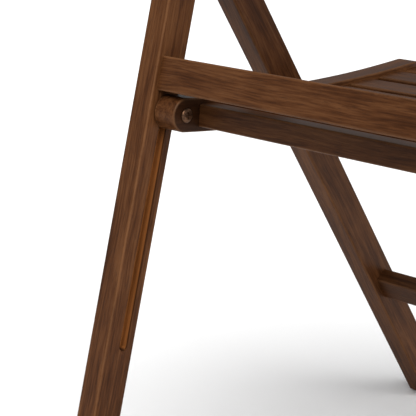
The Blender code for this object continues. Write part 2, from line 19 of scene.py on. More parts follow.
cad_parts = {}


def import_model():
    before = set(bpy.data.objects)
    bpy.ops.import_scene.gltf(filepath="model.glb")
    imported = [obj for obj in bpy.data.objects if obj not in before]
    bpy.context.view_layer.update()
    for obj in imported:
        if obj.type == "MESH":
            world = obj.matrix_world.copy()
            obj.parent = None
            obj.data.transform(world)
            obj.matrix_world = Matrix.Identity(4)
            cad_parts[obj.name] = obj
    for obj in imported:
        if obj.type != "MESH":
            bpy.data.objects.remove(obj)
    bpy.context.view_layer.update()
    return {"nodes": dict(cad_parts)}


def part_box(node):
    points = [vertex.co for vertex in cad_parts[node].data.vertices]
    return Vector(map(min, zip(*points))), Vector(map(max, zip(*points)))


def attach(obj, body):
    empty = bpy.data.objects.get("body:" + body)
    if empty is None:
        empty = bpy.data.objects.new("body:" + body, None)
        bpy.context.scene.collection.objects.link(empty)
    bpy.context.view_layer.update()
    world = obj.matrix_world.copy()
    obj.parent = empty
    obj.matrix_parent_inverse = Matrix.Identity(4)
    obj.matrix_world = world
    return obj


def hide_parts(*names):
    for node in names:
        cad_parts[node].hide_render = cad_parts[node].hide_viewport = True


LOG = logging.getLogger("folding_chair")
Color = tuple[float, float, float]
Range = tuple[float, float]
Outline = list[tuple[float, float]]
Nodes = dict[str, bpy.types.Object]
Socket = bpy.types.NodeSocket
SIDES = {"left": -1, "right": 1}
SAME = 1e-6  # points nearer than this are one
FAR = 10.0  # further along a bar than any bar of the chair is long
UPWARD = 0.8  # a face whose normal's Z is above this looks up
MEAN = 0.5  # the middle of what a noise or a wave gives


class Grain(Enum):
    """The axis of a piece's own frame that its grain, or its turning axis, runs along."""

    ACROSS = "X"
    DEPTH = "Y"
    LENGTH = "Z"

    def turn(self) -> Matrix:
        """Gives the rotation that brings this axis onto Z.

        Returns:
            The rotation.
        """
        rows = {
            "X": ((0, 1, 0), (0, 0, 1), (1, 0, 0)),
            "Y": ((0, 0, 1), (1, 0, 0), (0, 1, 0)),
            "Z": ((1, 0, 0), (0, 1, 0), (0, 0, 1)),
        }
        return Matrix(rows[self.value])


class Body(Enum):
    """The moving bodies of the chair, with how far each leans back about X, in degrees."""

    FRONT_FRAME = ("front_frame", -14.6)
    REAR_FRAME = ("rear_frame", 33.5)
    SEAT = ("seat", -4.0)

    @property
    def body_name(self) -> str:
        """The body's name in the frame."""
        return self.value[0]

    @property
    def lean(self) -> float:
        """The lean in radians."""
        return math.radians(self.value[1])


class Recess(Enum):
    """The driver recess in a fastener's head."""

    HEX = "hex"
    CROSS = "cross"


class Slot(Enum):
    """Names of the material slots meant for new pieces; nothing in this script uses them."""

    STEEL = "dark_steel"
    PLASTIC = "glide_plastic"


@dataclass(frozen=True)
class Curve:
    """How a bar's centre line leaves its straight one, towards the bar's own X.

    Attributes:
        bow: How far the middle of the bar is pushed.
        tenon: The straight length at each end of a bowed bar.
        nose: The radius of a round front end, 0 for none. The dish starts at its centre.
        fall: The dish's slope there.
        bend: Half of what the slope gains in each metre of run.
    """

    bow: float = 0.0
    tenon: float = 0.010
    nose: float = 0.0
    fall: float = 0.0
    bend: float = 0.0

    def offset(self, along: float, half: float) -> float:
        """Gives how far the centre line has moved.

        Args:
            along: The place along the bar, from its middle.
            half: Half the bar's length.

        Returns:
            The move along the bar's own X.
        """
        share = min(abs(along) / (half - self.tenon), 1.0)
        run = max(along + half - self.nose, 0.0)
        return self.bow * (1 - share**2) ** 2 + self.fall * run + self.bend * run**2


@dataclass(frozen=True)
class Place:
    """Where a CAD node lies, in a frame turned so that its grain or axis is Z.

    Attributes:
        turn: Rotation from the row frame to the turned one.
        centre: Middle of the node's box in the turned frame, with any curve straightened.
        half: Half the size of that box.
        curve: The curve of its centre line.
    """

    turn: Matrix
    centre: Vector
    half: Vector
    curve: Curve

    @classmethod
    def of(
        cls, obj: bpy.types.Object, lean: float, grain: Grain, curve: Curve = Curve(),
    ) -> "Place":
        """Measures a node.

        Args:
            obj: The CAD node's object, whose place is in its mesh.
            lean: How far it leans about X, in radians.
            grain: The axis that becomes Z.
            curve: The curve of its centre line.

        Returns:
            The node's place.
        """
        turn = grain.turn() @ Matrix.Rotation(-lean, 3, "X")
        points = [turn @ vert.co for vert in obj.data.vertices]
        low, high = min(point.z for point in points), max(point.z for point in points)
        for point in points:
            point.x -= curve.offset(point.z - (low + high) / 2, (high - low) / 2)
        low = Vector([min(point[axis] for point in points) for axis in range(3)])
        high = Vector([max(point[axis] for point in points) for axis in range(3)])
        return cls(turn, (low + high) / 2, (high - low) / 2, curve)

    def matrix(self, flip: bool = False) -> Matrix:
        """Gives the matrix that sets a piece, made about the origin along Z, at this place.

        Args:
            flip: True turns the piece end for end.

        Returns:
            A rotation and a move, from the piece's own frame to the row frame.
        """
        back = self.turn.inverted()
        spin = Matrix.Rotation(math.pi, 3, "X") if flip else Matrix.Identity(3)
        return Matrix.Translation(back @ self.centre) @ (back @ spin).to_4x4()


class Graph:
    """A node tree, with short calls that add nodes and join them."""

    def __init__(self, tree: bpy.types.NodeTree) -> None:
        """Keeps the tree.

        Args:
            tree: A material's or a group's node tree.
        """
        self.tree = tree

    def add(
        self, kind: str, inputs: dict[str | int, object] | None = None, **settings: object,
    ) -> bpy.types.Node:
        """Adds a node.

        Args:
            kind: The node's type, such as ShaderNodeMath.
            inputs: Input names or numbers, each with a value or a socket to join.
            **settings: The node's own settings.

        Returns:
            The node.
        """
        node = self.tree.nodes.new(kind)
        for name, value in settings.items():
            setattr(node, name, value)
        for name, value in (inputs or {}).items():
            self.feed(node.inputs[name], value)
        return node

    def feed(self, socket: Socket, value: object) -> None:
        """Joins a socket to an input, or sets the input's value.

        Args:
            socket: The input.
            value: A socket, a number, a colour or a vector.
        """
        if isinstance(value, bpy.types.NodeSocket):
            self.tree.links.new(value, socket)
        elif socket.type == "RGBA" and len(value) == 3:
            socket.default_value = (*value, 1.0)
        else:
            socket.default_value = value

    def shade(self, inputs: dict[str, object]) -> None:
        """Feeds a material's Principled shader.

        Args:
            inputs: Names of its inputs, each with a value or a socket to join.
        """
        shader = self.tree.nodes["Principled BSDF"]
        for name, value in inputs.items():
            self.feed(shader.inputs[name], value)

    def math(self, operation: str, *values: object) -> Socket:
        """Adds a Math node and gives its output."""
        inputs = dict(enumerate(values))
        return self.add("ShaderNodeMath", inputs, operation=operation).outputs[0]

    def vector(self, operation: str, *values: object) -> Socket:
        """Adds a Vector Math node and gives its vector output."""
        inputs = dict(enumerate(values))
        return self.add("ShaderNodeVectorMath", inputs, operation=operation).outputs[0]

    def smooth(self, value: object, span: Range) -> Socket:
        """Adds a Map Range that eases from 0 to 1.

        Args:
            value: What is mapped.
            span: The values that give 0 and 1.

        Returns:
            The mapped value.
        """
        inputs = {0: value, 1: span[0], 2: span[1]}
        node = self.add("ShaderNodeMapRange", inputs, interpolation_type="SMOOTHSTEP")
        return node.outputs[0]

    def blend(self, factor: object, first: object, second: object, mode: str = "MIX") -> Socket:
        """Adds a colour Mix.

        Args:
            factor: The share of the second colour.
            first: The first colour.
            second: The second colour.
            mode: How they blend.

        Returns:
            The blended colour.
        """
        inputs = {"Factor": factor, 6: first, 7: second}
        return self.add("ShaderNodeMix", inputs, data_type="RGBA", blend_type=mode).outputs[2]

    def noise(
        self, vector: object, scale: float, detail: float = 3.0, roughness: float = 0.55,
    ) -> Socket:
        """Adds a Noise texture and gives its value.

        Args:
            vector: Where it is read.
            scale: Its scale, per metre.
            detail: Its octaves.
            roughness: The strength of the finer octaves.

        Returns:
            The noise, from 0 to 1.
        """
        inputs = {"Vector": vector, "Scale": scale, "Detail": detail, "Roughness": roughness}
        return self.add("ShaderNodeTexNoise", inputs).outputs[0]


class EffectGroup:
    """A shader node group with named inputs and outputs, built once."""

    name = ""
    inputs: dict[str, str] = {}
    outputs: dict[str, str] = {}

    def __init__(self) -> None:
        """Makes the group and lets the subclass fill it."""
        self.group = bpy.data.node_groups.new(self.name, "ShaderNodeTree")
        for direction, sockets in (("INPUT", self.inputs), ("OUTPUT", self.outputs)):
            for label, kind in sockets.items():
                self.group.interface.new_socket(label, in_out=direction, socket_type=kind)
        graph = Graph(self.group)
        source = graph.add("NodeGroupInput")
        result = self.build(graph, source.outputs)
        target = graph.add("NodeGroupOutput")
        for label, value in result.items():
            graph.feed(target.inputs[label], value)

    def build(self, graph: Graph, source: bpy.types.NodeOutputs) -> dict[str, Socket]:
        """Fills the group.

        Args:
            graph: The group's tree.
            source: The group's inputs.

        Returns:
            Each output's name and what feeds it.
        """
        raise NotImplementedError

    def put(self, graph: Graph, inputs: dict[str, object]) -> bpy.types.NodeOutputs:
        """Places the group in a material.

        Args:
            graph: The material's tree.
            inputs: The group's inputs.

        Returns:
            The group node's outputs.
        """
        return graph.add("ShaderNodeGroup", inputs, node_tree=self.group).outputs


class StainedGrain(EffectGroup):
    """Straight, fine wood grain along Z: growth bands, streaks, mottle and open pores.

    A size is a noise's scale, and a stretch is what the coordinates are multiplied by first.
    """

    name = "stained_grain"
    inputs = {"Vector": "NodeSocketVector", "Seed": "NodeSocketFloat", "Figure": "NodeSocketFloat"}
    outputs = {"Tone": "NodeSocketFloat", "Pores": "NodeSocketFloat", "Height": "NodeSocketFloat"}
    seed_step = (0.71, 0.37, 1.93)
    sway_size, sway_stretch, sway_reach = 22.0, (1.0, 1.0, 0.22), (0.016, 0.016, 0.0)
    fine_size, fine_stretch, fine_share = 520.0, (1.0, 1.0, 0.055), 0.95
    wide_size, wide_stretch, wide_share = 120.0, (1.0, 1.0, 0.045), 0.75
    mottle_size, mottle_stretch, mottle_share = 55.0, (1.0, 1.0, 0.3), 0.45
    band_size, band_stretch, band_distortion = 36.0, (1.0, 0.45, 0.05), 5.0
    pore_size, pore_stretch, pore_depth = 1500.0, (1.0, 1.0, 0.045), -0.8
    rib_height, tone_span, pore_span = 0.5, (0.72, 1.42), (0.60, 0.72)

    def build(self, graph: Graph, source: bpy.types.NodeOutputs) -> dict[str, Socket]:
        """Fills the group.

        Args:
            graph: The group's tree.
            source: The group's inputs.

        Returns:
            Each output's name and what feeds it.
        """
        seeds = dict.fromkeys(range(3), source["Seed"])
        seed = graph.add("ShaderNodeCombineXYZ", seeds).outputs[0]
        seed = graph.vector("MULTIPLY", seed, self.seed_step)
        place = graph.vector("ADD", source["Vector"], seed)
        slow = graph.vector("MULTIPLY", place, self.sway_stretch)
        sway = graph.add("ShaderNodeTexNoise", {
            "Vector": slow, "Scale": self.sway_size, "Detail": 2.0}).outputs[1]
        sway = graph.vector("SUBTRACT", sway, (MEAN, MEAN, MEAN))
        wavy = graph.vector("ADD", place, graph.vector("MULTIPLY", sway, self.sway_reach))
        lines = graph.vector("MULTIPLY", wavy, self.fine_stretch)
        fine = graph.noise(lines, self.fine_size, detail=4.0, roughness=0.62)
        broad = graph.vector("MULTIPLY", wavy, self.wide_stretch)
        wide = graph.noise(broad, self.wide_size, detail=2.0)
        cloud = graph.vector("MULTIPLY", place, self.mottle_stretch)
        mottle = graph.noise(cloud, self.mottle_size)
        bands = graph.add("ShaderNodeTexWave", {
            "Vector": graph.vector("MULTIPLY", wavy, self.band_stretch), "Scale": self.band_size,
            "Distortion": self.band_distortion, "Detail": 2.0, "Detail Scale": 1.6},
            wave_type="BANDS", bands_direction="X", wave_profile="SIN").outputs[1]
        figure = graph.math("MULTIPLY", graph.math("SUBTRACT", bands, MEAN), source["Figure"])
        wide = graph.math("MULTIPLY", wide, self.wide_share)
        streaks = graph.math("MULTIPLY_ADD", fine, self.fine_share, wide)
        mottled = graph.math("MULTIPLY_ADD", mottle, self.mottle_share, streaks)
        tone = graph.smooth(graph.math("ADD", mottled, figure), self.tone_span)
        dashes = graph.vector("MULTIPLY", wavy, self.pore_stretch)
        pores = graph.smooth(graph.noise(dashes, self.pore_size, detail=1.0), self.pore_span)
        ribs = graph.math("MULTIPLY", fine, self.rib_height)
        height = graph.math("MULTIPLY_ADD", pores, self.pore_depth, ribs)
        return {"Tone": tone, "Pores": pores, "Height": height}


class Straightened(EffectGroup):
    """Coordinates in which a curved bar is straight, as Curve.offset says.

    Reach is the half length that the bow runs over, and Start where along Z the dish begins.
    """

    name = "straightened"
    inputs = {
        "Vector": "NodeSocketVector", "Bow": "NodeSocketFloat", "Reach": "NodeSocketFloat",
        "Start": "NodeSocketFloat", "Fall": "NodeSocketFloat", "Bend": "NodeSocketFloat",
    }
    outputs = {"Vector": "NodeSocketVector"}

    def build(self, graph: Graph, source: bpy.types.NodeOutputs) -> dict[str, Socket]:
        """Fills the group.

        Args:
            graph: The group's tree.
            source: The group's inputs.

        Returns:
            Each output's name and what feeds it.
        """
        along = graph.add("ShaderNodeSeparateXYZ", {0: source["Vector"]}).outputs[2]
        share = graph.math("DIVIDE", graph.math("ABSOLUTE", along), source["Reach"])
        share = graph.math("MINIMUM", share, 1.0)
        dip = graph.math("SUBTRACT", 1.0, graph.math("MULTIPLY", share, share))
        bowed = graph.math("MULTIPLY", graph.math("MULTIPLY", dip, dip), source["Bow"])
        run = graph.math("MAXIMUM", graph.math("SUBTRACT", along, source["Start"]), 0.0)
        slope = graph.math("MULTIPLY_ADD", run, source["Bend"], source["Fall"])
        offset = graph.math("MULTIPLY_ADD", slope, run, bowed)
        move = graph.add("ShaderNodeCombineXYZ", {0: offset}).outputs[0]
        return {"Vector": graph.vector("SUBTRACT", source["Vector"], move)}


class RubbedEdges(EffectGroup):
    """A mask on the arrises of a bar, worked out from the bar's own size.

    Half is half the bar's size, and Nose where along Z the round front end has its centre.
    """

    name = "rubbed_edges"
    inputs = {"Vector": "NodeSocketVector", "Half": "NodeSocketVector", "Nose": "NodeSocketFloat"}
    outputs = {"Edge": "NodeSocketFloat", "Ends": "NodeSocketFloat"}
    patch_size, patch_reach = 240.0, 0.0016
    edge_span, end_span = (-0.0022, -0.0006), (-0.0006, 0.0)

    def build(self, graph: Graph, source: bpy.types.NodeOutputs) -> dict[str, Socket]:
        """Fills the group.

        Args:
            graph: The group's tree.
            source: The group's inputs.

        Returns:
            Each output's name and what feeds it.
        """
        own = graph.add("ShaderNodeSeparateXYZ", {0: source["Vector"]}).outputs
        half = graph.add("ShaderNodeSeparateXYZ", {0: source["Half"]}).outputs
        before = graph.math("MAXIMUM", graph.math("SUBTRACT", source["Nose"], own[2]), 0.0)
        square = graph.math("MULTIPLY", own[0], own[0])
        square = graph.math("MULTIPLY_ADD", before, before, square)
        a = graph.math("SUBTRACT", graph.math("SQRT", square), half[0])
        b = graph.math("SUBTRACT", graph.math("ABSOLUTE", own[1]), half[1])
        c = graph.math("SUBTRACT", graph.math("ABSOLUTE", own[2]), half[2])
        pairs = [graph.math("MINIMUM", *pair) for pair in ((a, b), (b, c), (a, c))]
        second = graph.math("MAXIMUM", graph.math("MAXIMUM", pairs[0], pairs[1]), pairs[2])
        patch = graph.math("SUBTRACT", graph.noise(source["Vector"], self.patch_size), MEAN)
        ragged = graph.math("MULTIPLY_ADD", patch, self.patch_reach, second)
        edge = graph.smooth(ragged, self.edge_span)
        return {"Edge": edge, "Ends": graph.smooth(c, self.end_span)}


class MilledGroove(EffectGroup):
    """Masks on the slot in a leg's inner face: its walls and floor, and painted shade at its rim.

    Inward is the leg's own X towards the seat, Half its half width, Line the slot's own Y and
    End the own Z of its lower round end. Shade is painted along the slot's rear edge and there.
    """

    name = "milled_groove"
    inputs = {
        "Vector": "NodeSocketVector", "Inward": "NodeSocketFloat", "Half": "NodeSocketFloat",
        "Line": "NodeSocketFloat", "End": "NodeSocketFloat",
    }
    outputs = {"Groove": "NodeSocketFloat", "RimShade": "NodeSocketFloat"}
    mouth_span, floor_span, wall_span = (0.0001, 0.0005), (0.0105, 0.0100), (0.0062, 0.0056)
    # These spans set the painted shade along the slot's rear edge and at its lower round end.
    rim_depth_span, rim_side_span, foot_span = (0.0026, 0.0012), (0.003, 0.0044), (0.0012, 0.0036)

    def build(self, graph: Graph, source: bpy.types.NodeOutputs) -> dict[str, Socket]:
        """Fills the group.

        Args:
            graph: The group's tree.
            source: The group's inputs.

        Returns:
            Each output's name and what feeds it.
        """
        own = graph.add("ShaderNodeSeparateXYZ", {0: source["Vector"]}).outputs
        side = graph.math("MULTIPLY", own[0], source["Inward"])
        depth = graph.math("SUBTRACT", source["Half"], side)
        inside = graph.smooth(depth, self.mouth_span)
        within = graph.smooth(depth, self.floor_span)
        aside = graph.math("SUBTRACT", own[1], source["Line"])
        near = graph.smooth(graph.math("ABSOLUTE", aside), self.wall_span)
        groove = graph.math("MULTIPLY", graph.math("MULTIPLY", inside, within), near)
        shallow = graph.smooth(depth, self.rim_depth_span)
        edge = graph.math("MULTIPLY", shallow, graph.smooth(aside, self.rim_side_span))
        foot = graph.smooth(graph.math("SUBTRACT", source["End"], own[2]), self.foot_span)
        # Painted shade: the slot's rear edge and its lower round end, where the recess is in
        # shadow.
        rim = graph.math("MULTIPLY", graph.math("MAXIMUM", edge, foot), groove)
        return {"Groove": groove, "RimShade": rim}


class PinPaintedShade(EffectGroup):
    """A mask on the seat rail's inner face around the pin, for painted shade under the cross rail.

    Inner is the own Y of that face, signed, and Nose the own Z of the pin.
    """

    name = "pin_painted_shade"
    inputs = {"Vector": "NodeSocketVector", "Inner": "NodeSocketFloat", "Nose": "NodeSocketFloat"}
    outputs = {"Dark": "NodeSocketFloat"}
    face_span, patch_span = (0.0012, 0.0002), (0.052, 0.018)
    cloud_size, cloud_reach = 90.0, 0.012

    def build(self, graph: Graph, source: bpy.types.NodeOutputs) -> dict[str, Socket]:
        """Fills the group.

        Args:
            graph: The group's tree.
            source: The group's inputs.

        Returns:
            Each output's name and what feeds it.
        """
        own = graph.add("ShaderNodeSeparateXYZ", {0: source["Vector"]}).outputs
        level = graph.math("SUBTRACT", own[1], source["Inner"])
        face = graph.smooth(graph.math("ABSOLUTE", level), self.face_span)
        behind = graph.math("SUBTRACT", own[2], source["Nose"])
        away = graph.add("ShaderNodeCombineXYZ", {0: own[0], 2: behind}).outputs[0]
        reach = graph.add("ShaderNodeVectorMath", {0: away}, operation="LENGTH").outputs["Value"]
        cloud = graph.math("SUBTRACT", graph.noise(source["Vector"], self.cloud_size), MEAN)
        ragged = graph.math("MULTIPLY_ADD", cloud, self.cloud_reach, reach)
        return {"Dark": graph.math("MULTIPLY", face, graph.smooth(ragged, self.patch_span))}


class HandledMetal(EffectGroup):
    """Turning rings about Z, patina patches and fine scuffs on small steel parts."""

    name = "handled_metal"
    inputs = {"Vector": "NodeSocketVector", "Seed": "NodeSocketFloat"}
    outputs = {
        "Patina": "NodeSocketFloat", "Scuffs": "NodeSocketFloat", "Height": "NodeSocketFloat",
    }
    patina_size, patina_span = 330.0, (0.36, 0.66)
    scuff_size, scuff_stretch, scuff_span = 2600.0, (1.0, 0.15, 1.0), (0.58, 0.75)
    ring_size, ring_distortion, ring_height = 640.0, 0.6, 0.12
    lump_size, lump_height = 420.0, 0.9

    def build(self, graph: Graph, source: bpy.types.NodeOutputs) -> dict[str, Socket]:
        """Fills the group.

        Args:
            graph: The group's tree.
            source: The group's inputs.

        Returns:
            Each output's name and what feeds it.
        """
        seeds = {0: source["Seed"], 2: source["Seed"]}
        seed = graph.add("ShaderNodeCombineXYZ", seeds).outputs[0]
        place = graph.vector("ADD", source["Vector"], seed)
        patches = graph.noise(place, self.patina_size, detail=4.0)
        patina = graph.smooth(patches, self.patina_span)
        rubbed = graph.vector("MULTIPLY", place, self.scuff_stretch)
        scuffs = graph.smooth(graph.noise(rubbed, self.scuff_size, detail=2.0), self.scuff_span)
        rings = graph.add("ShaderNodeTexWave", {
            "Vector": source["Vector"], "Scale": self.ring_size,
            "Distortion": self.ring_distortion, "Detail": 2.0},
            wave_type="RINGS", rings_direction="Z").outputs[1]
        lumps = graph.math("MULTIPLY", graph.noise(place, self.lump_size), self.lump_height)
        height = graph.math("MULTIPLY_ADD", rings, self.ring_height, lumps)
        return {"Patina": patina, "Scuffs": scuffs, "Height": height}


@dataclass(frozen=True)
class Effects:
    """The node groups that the finishes share."""

    straight: Straightened = field(default_factory=Straightened)
    grain: StainedGrain = field(default_factory=StainedGrain)
    edges: RubbedEdges = field(default_factory=RubbedEdges)
    groove: MilledGroove = field(default_factory=MilledGroove)
    # The mask of the painted shade round the slide pin.
    pin_shade: PinPaintedShade = field(default_factory=PinPaintedShade)
    metal: HandledMetal = field(default_factory=HandledMetal)


def own_space(graph: Graph, place: Place) -> Socket:
    """Reads a piece's own coordinates: centred on it, with its grain or axis along Z.

    Args:
        graph: The material's tree.
        place: Where the piece lies.

    Returns:
        The turned and centred coordinates.
    """
    source = graph.add("ShaderNodeTexCoord").outputs["Object"]
    mapping = graph.add("ShaderNodeMapping", {
        "Vector": source, "Location": -place.centre, "Rotation": place.turn.to_euler()})
    return mapping.outputs[0]


@dataclass(frozen=True)
class Slotting:
    """Where the slot lies in a front leg.

    Attributes:
        line: Its own Y, from the leg's middle.
        end: How far its lower round end is above the leg's lower end.
    """

    line: float
    end: float


def start_material(name: str) -> tuple[bpy.types.Material, Graph]:
    """Makes a material with a plain Principled shader.

    Args:
        name: The material's name.

    Returns:
        The material and its graph.
    """
    material = bpy.data.materials.new(name)
    material.use_nodes = True
    return material, Graph(material.node_tree)


@dataclass(frozen=True)
class WoodFinish:
    """Dark brown stain and satin lacquer on a fine, straight-grained wood.

    Each share is how much of a colour an effect lays over the wood, and each change is what
    an effect adds to the roughness.
    """

    effects: Effects
    deep: Color = (0.030, 0.0095, 0.0028)
    body: Color = (0.064, 0.0225, 0.0072)
    light: Color = (0.106, 0.0420, 0.0150)
    worn: Color = (0.190, 0.0900, 0.0400)
    cut: Color = (0.270, 0.0960, 0.0250)
    pore: Color = (0.020, 0.0080, 0.0040)
    # The colour of the painted shade round the slide pin on the seat rails.
    pin_shade: Color = (0.011, 0.0036, 0.0012)
    figure: float = 0.07
    body_tone: float = 0.46
    cut_dark: float = 0.55
    pore_share: float = 0.55
    groove_share: float = 0.85
    # How much of the painted shade in the slot's rim is laid on.
    rim_shade_share: float = 0.92
    # How much of the painted shade round the slide pin is laid on.
    pin_shade_share: float = 0.80
    worn_share: float = 0.30
    end_share: float = 0.55
    roughness: float = 0.38
    tone_change: float = 0.08
    groove_change: float = 0.10
    edge_change: float = -0.06
    specular: float = 0.07
    coat: float = 0.02
    coat_roughness: float = 0.28
    bump_strength: float = 0.35
    bump_height: float = 0.00018

    def material(
        self, name: str, place: Place, seed: float, tint: float, inward: float,
        slot: Slotting | None = None,
    ) -> bpy.types.Material:
        """Makes the finish of one wooden piece.

        Args:
            name: The piece's name.
            place: Where it lies, with its grain along Z.
            seed: What sets its grain apart from the other pieces'.
            tint: How light its wood is, 1 being the common one.
            inward: 1 for a piece on the left, -1 for one on the right.
            slot: The slot in a leg.

        Returns:
            The material.
        """
        material, graph = start_material(f"wood_{name}")
        curve, half = place.curve, place.half.copy()
        nose = curve.nose - half.z if curve.nose else -FAR
        own = self.effects.straight.put(graph, {
            "Vector": own_space(graph, place), "Bow": curve.bow, "Reach": half.z - curve.tenon,
            "Start": curve.nose - half.z, "Fall": curve.fall, "Bend": curve.bend})["Vector"]
        if curve.nose:
            half.z += FAR  # a round nose has no flat end to darken
        grain = self.effects.grain.put(graph, {
            "Vector": own, "Seed": seed, "Figure": self.figure})
        edges = self.effects.edges.put(graph, {"Vector": own, "Half": half, "Nose": nose})
        ramp = graph.add("ShaderNodeValToRGB", {0: grain["Tone"]})
        stops = ramp.color_ramp.elements
        stops[0].color, stops[1].color = (*self.deep, 1.0), (*self.light, 1.0)
        stops.new(self.body_tone).color = (*self.body, 1.0)
        share = graph.math("MULTIPLY", grain["Pores"], self.pore_share)
        color = graph.blend(share, ramp.outputs[0], self.pore)
        color = graph.blend(1.0, color, (tint, tint, tint), "MULTIPLY")
        rough = graph.math("MULTIPLY_ADD", grain["Tone"], self.tone_change, self.roughness)
        layers = []
        if slot:
            groove = self.effects.groove.put(graph, {
                "Vector": own, "Inward": inward, "Half": place.half.x, "Line": slot.line,
                "End": slot.end - place.half.z})
            shade = [channel * self.cut_dark for channel in self.cut]
            raw = graph.blend(grain["Tone"], shade, self.cut)
            layers += [
                (groove["Groove"], self.groove_share, raw),
                # Painted shade at the slot's rear edge and lower end, in the pore colour.
                (groove["RimShade"], self.rim_shade_share, self.pore),
            ]
            rough = graph.math("MULTIPLY_ADD", groove["Groove"], self.groove_change, rough)
        if curve.nose:
            # Painted shade on the rail's inner face round the pin, where the cross rail above
            # shades it.
            dark = self.effects.pin_shade.put(graph, {
                "Vector": own, "Inner": inward * place.half.y, "Nose": nose})["Dark"]
            layers.append((dark, self.pin_shade_share, self.pin_shade))
        layers += [
            (edges["Edge"], self.worn_share, self.worn), (edges["Ends"], self.end_share, self.deep),
        ]
        for mask, share, over in layers:
            color = graph.blend(graph.math("MULTIPLY", mask, share), color, over)
        rough = graph.math("MULTIPLY_ADD", edges["Edge"], self.edge_change, rough)
        bump = graph.add("ShaderNodeBump", {
            "Strength": self.bump_strength, "Distance": self.bump_height,
            "Height": grain["Height"]})
        graph.shade({
            "Base Color": color, "Roughness": rough, "Normal": bump.outputs[0],
            "Specular IOR Level": self.specular, "Coat Weight": self.coat,
            "Coat Roughness": self.coat_roughness})
        return material


@dataclass(frozen=True)
class MetalFinish:
    """Bronzed steel, rubbed lighter where it is handled."""

    effects: Effects
    dark: Color = (0.060, 0.030, 0.016)
    bright: Color = (0.175, 0.088, 0.045)
    scuff: Color = (0.280, 0.185, 0.125)
    scuff_share: float = 0.5
    metallic: float = 0.85
    roughness: float = 0.42
    patina_change: float = -0.10
    bump_strength: float = 0.5
    bump_height: float = 0.0002

    def material(self, name: str, place: Place, seed: float) -> bpy.types.Material:
        """Makes the finish of one steel piece.

        Args:
            name: The piece's name.
            place: Where it lies, with its turning axis along Z.
            seed: What sets its patina apart.

        Returns:
            The material.
        """
        material, graph = start_material(f"steel_{name}")
        metal = self.effects.metal.put(graph, {"Vector": own_space(graph, place), "Seed": seed})
        color = graph.blend(metal["Patina"], self.dark, self.bright)
        share = graph.math("MULTIPLY", metal["Scuffs"], self.scuff_share)
        rough = graph.math("MULTIPLY_ADD", metal["Patina"], self.patina_change, self.roughness)
        bump = graph.add("ShaderNodeBump", {
            "Strength": self.bump_strength, "Distance": self.bump_height,
            "Height": metal["Height"]})
        graph.shade({
            "Base Color": graph.blend(share, color, self.scuff), "Roughness": rough,
            "Normal": bump.outputs[0], "Metallic": self.metallic})
        return material


@dataclass(frozen=True)
class PlasticFinish:
    """Matt dark brown moulded plastic with a fine texture and floor scuffs."""

    color: Color = (0.030, 0.020, 0.014)
    scuff: Color = (0.130, 0.105, 0.085)
    scuff_size: float = 700.0
    scuff_span: Range = (0.55, 0.75)
    scuff_change: float = 0.15
    roughness: float = 0.5
    grit_size: float = 4200.0
    bump_strength: float = 0.3
    bump_height: float = 0.0001

    def material(self) -> bpy.types.Material:
        """Makes the finish that all the glides share.

        Returns:
            The material.
        """
        material, graph = start_material("glide_plastic")
        place = graph.add("ShaderNodeTexCoord").outputs["Object"]
        worn = graph.smooth(graph.noise(place, self.scuff_size, detail=4.0), self.scuff_span)
        bump = graph.add("ShaderNodeBump", {
            "Strength": self.bump_strength, "Distance": self.bump_height,
            "Height": graph.noise(place, self.grit_size, detail=2.0)})
        graph.shade({
            "Base Color": graph.blend(worn, self.color, self.scuff),
            "Roughness": graph.math("MULTIPLY_ADD", worn, self.scuff_change, self.roughness),
            "Normal": bump.outputs[0]})
        return material


@dataclass(frozen=True)
class Finishes:
    """Every finish of the chair."""

    wood: WoodFinish
    metal: MetalFinish
    plastic: bpy.types.Material


def clothe(obj: bpy.types.Object, material: bpy.types.Material) -> None:
    """Gives a piece one material in its only slot.

    Args:
        obj: The piece.
        material: Its finish.
    """
    obj.data.materials.clear()
    obj.data.materials.append(material)


@dataclass
class Member:
    """A wooden CAD node that stays and gets its own grain.

    Attributes:
        node: The node's name.
        body: The body that it belongs to.
        grain: The axis that its grain runs along.
        seed: What sets its grain apart.
        tint: How light its wood is.
        curve: The curve of its centre line.
        tilted: True for a piece that has its own tilt in its frame.
        slot: The slot in a front leg.
    """

    node: str
    body: Body
    grain: Grain
    seed: float
    tint: float = 1.0
    curve: Curve = Curve()
    tilted: bool = False
    slot: Slotting | None = None

    def lean(self, obj: bpy.types.Object) -> float:
        """Gives how far the piece leans about X: a tilted piece is read off its widest top.

        Args:
            obj: The node's object.

        Returns:
            The lean in radians.
        """
        if not self.tilted:
            return self.body.lean
        tops = [face for face in obj.data.polygons if face.normal.z > UPWARD]
        normal = max(tops, key=lambda face: face.area).normal
        return math.atan2(-normal.y, normal.z)

    def dress(self, nodes: Nodes, finish: WoodFinish) -> None:
        """Gives the node its wood.

        Args:
            nodes: The frame's nodes.
            finish: The wood.
        """
        obj = nodes[self.node]
        place = Place.of(obj, self.lean(obj), self.grain, self.curve)
        inward = 1.0 if self.node.endswith("left") else -1.0
        clothe(obj, finish.material(self.node, place, self.seed, self.tint, inward, self.slot))


